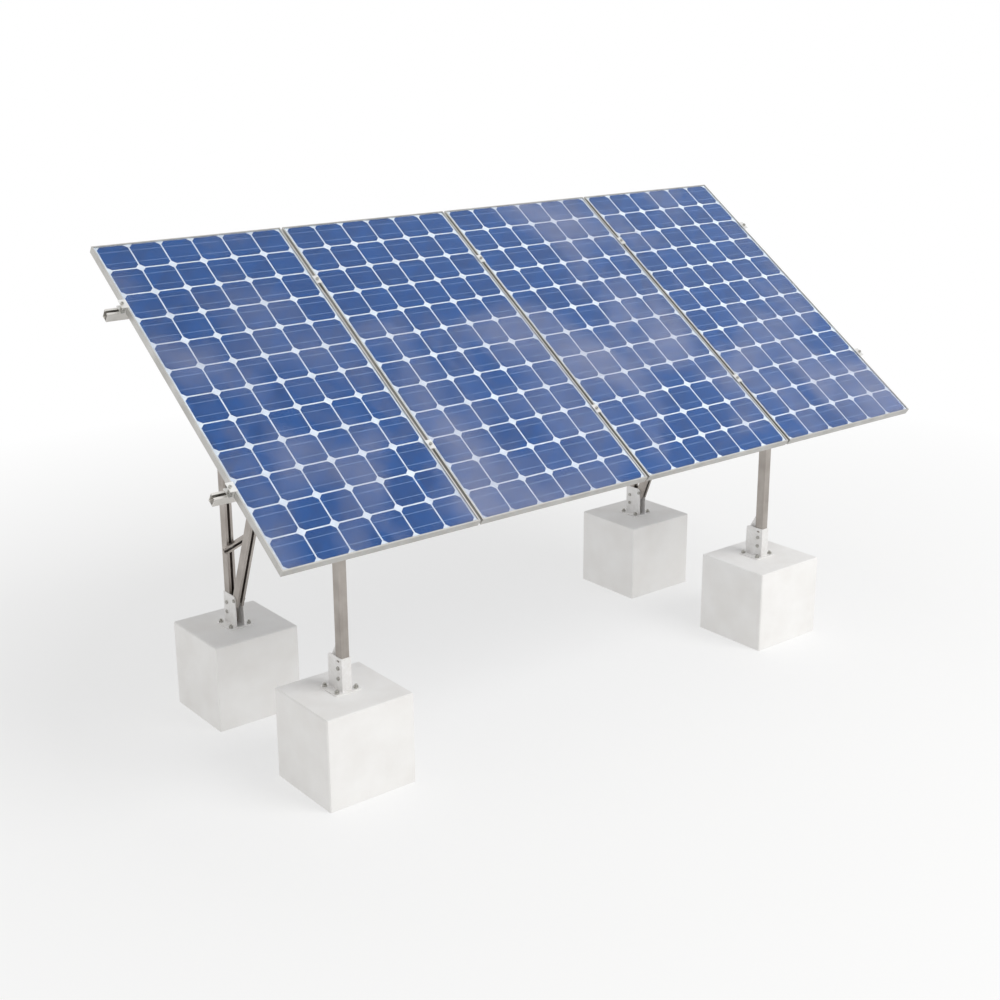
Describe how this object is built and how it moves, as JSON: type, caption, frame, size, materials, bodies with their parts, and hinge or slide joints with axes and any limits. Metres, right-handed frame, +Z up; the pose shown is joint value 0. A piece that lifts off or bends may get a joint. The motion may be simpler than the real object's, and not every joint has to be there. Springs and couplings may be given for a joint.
{
  "type": "ballasted solar array mount",
  "caption": "Ground-standing solar array: framed modules clamped side by side on sloped rails, carried by posts, struts and a brace on free-standing cube ballast blocks.",
  "frame": {"origin": "centre of the bounding box at ground level", "axes": "+X along the array, +Y towards its high rear edge, +Z up"},
  "size_m": [3.358, 1.3104, 1.8881],
  "materials": {
    "concrete": "cast, painted white",
    "galvanised_steel": "hot-dip galvanised",
    "zinc_fasteners": "zinc plated",
    "aluminium_section": "mill finish extrusion",
    "clamp_aluminium": "bright anodised",
    "frame_anodised": "clear anodised",
    "solar_glass": "tempered, lightly textured",
    "silicon_cell": "blue coated monocrystalline silicon",
    "white_backsheet": "white laminated film",
    "black_plastic": "moulded"
  },
  "bodies": {
    "root": {"ballast_block_front_left": "concrete", "ballast_block_front_right": "concrete", "ballast_block_rear_left": "concrete", "ballast_block_rear_right": "concrete", "base_plate_front_left": "galvanised_steel", "base_plate_front_right": "galvanised_steel", "base_plate_rear_left": "galvanised_steel", "base_plate_rear_right": "galvanised_steel", "foot_bracket_front_left": "galvanised_steel", "foot_bracket_front_right": "galvanised_steel", "foot_bracket_rear_left": "galvanised_steel", "foot_bracket_rear_right": "galvanised_steel", "foot_gussets": "galvanised_steel", "anchor_bolts": "zinc_fasteners", "front_post_left": "aluminium_section", "rear_post_left": "aluminium_section", "rear_strut_left": "aluminium_section", "rafter_left": "aluminium_section", "joint_plates_left": "galvanised_steel", "front_post_right": "aluminium_section", "rear_post_right": "aluminium_section", "rear_strut_right": "aluminium_section", "rafter_right": "aluminium_section", "joint_plates_right": "galvanised_steel", "rail_upper": "aluminium_section", "rail_lower": "aluminium_section", "cross_brace": "aluminium_section", "cross_bolts": "zinc_fasteners", "cross_nuts": "zinc_fasteners", "brace_bolts": "zinc_fasteners", "clamp_screws": "zinc_fasteners", "channel_nuts": "zinc_fasteners", "rail_cleats": "aluminium_section", "mid_clamps": "clamp_aluminium", "end_clamps": "clamp_aluminium", "module_frame_1": "frame_anodised", "front_glass_1": "solar_glass", "solar_cells_1": "silicon_cell", "backsheet_1": "white_backsheet", "junction_box_1": "black_plastic", "module_frame_2": "frame_anodised", "front_glass_2": "solar_glass", "solar_cells_2": "silicon_cell", "backsheet_2": "white_backsheet", "junction_box_2": "black_plastic", "module_frame_3": "frame_anodised", "front_glass_3": "solar_glass", "solar_cells_3": "silicon_cell", "backsheet_3": "white_backsheet", "junction_box_3": "black_plastic", "module_frame_4": "frame_anodised", "front_glass_4": "solar_glass", "solar_cells_4": "silicon_cell", "backsheet_4": "white_backsheet", "junction_box_4": "black_plastic"}
  },
  "joints": []
}
